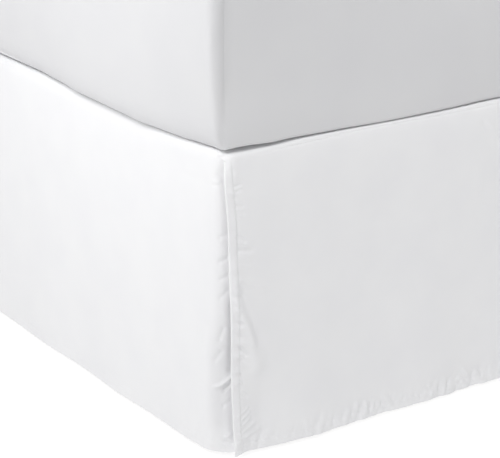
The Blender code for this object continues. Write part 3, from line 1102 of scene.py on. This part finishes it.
def mattressCover():
    # smooth white knit
    cover = {
        "colour": (0.70, 0.70, 0.71),
        "shade": (0.68, 0.68, 0.695),
        "mottle": 9.0,
        "loops": 0.0009,
        "nap": 700.0,
        "relief": 0.00008,
    }
    finish, tree, shader = newFinish("white knit cover", 0.8)
    shader.inputs["Sheen Weight"].default_value = 0.1
    shader.inputs["Specular IOR Level"].default_value = 0.25
    place = tree.nodes.new("ShaderNodeTexCoord").outputs["Object"]
    slow = noiseNode(tree, place, cover["mottle"])
    colourBetween(tree, shader, slow, cover["shade"], cover["colour"])
    knit = plainWeave(tree, allRound(tree, place), cover["loops"])
    nap = noiseNode(tree, place, cover["nap"], 3.0)
    bumped(tree, shader, wovenHeight(tree, knit, nap), cover["relief"], 0.6)
    return finish


def baseCover():
    # a coarser warm grey cloth
    cover = {
        "colour": (0.66, 0.64, 0.61),
        "shade": (0.50, 0.48, 0.45),
        "mottle": 260.0,
        "yarn": 0.0016,
        "relief": 0.0002,
    }
    finish, tree, shader = newFinish("grey base cloth", 0.88)
    shader.inputs["Specular IOR Level"].default_value = 0.2
    place = tree.nodes.new("ShaderNodeTexCoord").outputs["Object"]
    mottle = noiseNode(tree, place, cover["mottle"], 3.0)
    colourBetween(tree, shader, mottle, cover["shade"], cover["colour"])
    weave = plainWeave(tree, allRound(tree, place), cover["yarn"])
    bumped(tree, shader, weave, cover["relief"], 0.7)
    return finish


def legWood():
    # dark stained wood, grain up the leg
    wood = {
        "light": (0.24, 0.155, 0.095),
        "dark": (0.10, 0.060, 0.035),
        "stretch": (1.0, 1.0, 0.06),
        "grain": 320.0,
        "relief": 0.0003,
    }
    finish, tree, shader = newFinish("dark stained wood", 0.42)
    place = tree.nodes.new("ShaderNodeTexCoord").outputs["Object"]
    stretch = tree.nodes.new("ShaderNodeMapping")
    stretch.inputs["Scale"].default_value = wood["stretch"]
    tree.links.new(place, stretch.inputs["Vector"])
    grain = noiseNode(tree, stretch.outputs["Vector"], wood["grain"], 5.0)
    colourBetween(tree, shader, grain, wood["dark"], wood["light"])
    bumped(tree, shader, grain, wood["relief"], 0.5)
    return finish


print("sewing the skirt")
whiteCloth = skirtCloth()
makeDeck(whiteCloth)
makeFootDrop(whiteCloth)
makeSideDrop("left_drop_cloth", "left_drop", -1, leftSwings, sideCreases, 11.0, whiteCloth)
makeSideDrop("right_drop_cloth", "right_drop", 1, rightSwings, (), 21.0, whiteCloth)

print("filling the mattress and covering the base")
makeMattress(mattressCover())
makeBase(baseCover())
stainedWood = legWood()
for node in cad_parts:
    if node.startswith("leg_"):
        leg = bpy.data.objects[node]
        leg.data.materials.clear()
        leg.data.materials.append(stainedWood)

print("setting the studio")
studio = {
    "floor": (0.25, 0.25, 0.25),
    "floorSize": 24,
    "floorLevel": -0.0005,
    "glow": 0.85,
    "world": 0.13,
    "azimuth": 34.3,
    "elevation": 19.2,
    "lens": 133.63,
    "distance": 2.280,
    "corner": (-0.7673, -1.0224, 0.209),
    "aimRight": 0.034,
    "aimUp": 0.103,
}
floorPlace = (0, 0, studio["floorLevel"])
bpy.ops.mesh.primitive_plane_add(size=studio["floorSize"], location=floorPlace)
floor = bpy.context.object
floor.name = "floor"
paper, _, paperShader = newFinish("pale floor", 0.9)
paperShader.inputs["Base Color"].default_value = (*studio["floor"], 1)
paperShader.inputs["Specular IOR Level"].default_value = 0.1
paperShader.inputs["Emission Color"].default_value = (1, 1, 1, 1)
paperShader.inputs["Emission Strength"].default_value = studio["glow"]
floor.data.materials.append(paper)

world = bpy.data.worlds.new("studio")
world.use_nodes = True
background = world.node_tree.nodes["Background"]
background.inputs["Color"].default_value = (1, 1, 1, 1)
background.inputs["Strength"].default_value = studio["world"]
bpy.context.scene.world = world
bpy.context.scene.view_settings.view_transform = "Standard"

# name: place, aim, width, height, power
lamps = {
    "key": ((-3.71, -2.92, 4.46), (-0.75, -1.0, 0.3), 1.44, 1.44, 127.0),
    "mattressSide": ((-1.7, -0.3, 1.3), (-0.77, -0.45, 0.55), 0.5, 0.5, 4.8),
    "mattressNear": ((-1.5, -0.85, 0.95), (-0.77, -0.75, 0.58), 0.4, 0.3, 2.1),
    "fill": ((0.15, -2.4, 2.9), (0.0, -1.05, 0.35), 1.4, 1.0, 30.6),
}
for lampName, (place, aim, width, height, power) in lamps.items():
    lamp = bpy.data.lights.new(lampName, "AREA")
    lamp.shape = "RECTANGLE"
    lamp.size, lamp.size_y, lamp.energy = width, height, power
    stand = bpy.data.objects.new(lampName, lamp)
    stand.location = place
    stand.visible_camera = False
    stand.rotation_euler = (Vector(place) - Vector(aim)).to_track_quat("Z", "Y").to_euler()
    bpy.context.scene.collection.objects.link(stand)

azimuth, elevation = math.radians(studio["azimuth"]), math.radians(studio["elevation"])
level = math.cos(elevation)
back = Vector((-math.sin(azimuth) * level, -math.cos(azimuth) * level, math.sin(elevation)))
right = Vector((math.cos(azimuth), -math.sin(azimuth), 0))
up = back.cross(right)
target = Vector(studio["corner"]) + right * studio["aimRight"] + up * studio["aimUp"]
camera = bpy.data.objects.new("camera", bpy.data.cameras.new("camera"))
camera.data.lens = studio["lens"]
camera.data.sensor_width = 36
facing = Matrix((right, up, back)).transposed().to_4x4()
camera.matrix_world = Matrix.Translation(target + back * studio["distance"]) @ facing
bpy.context.scene.collection.objects.link(camera)
bpy.context.scene.camera = camera
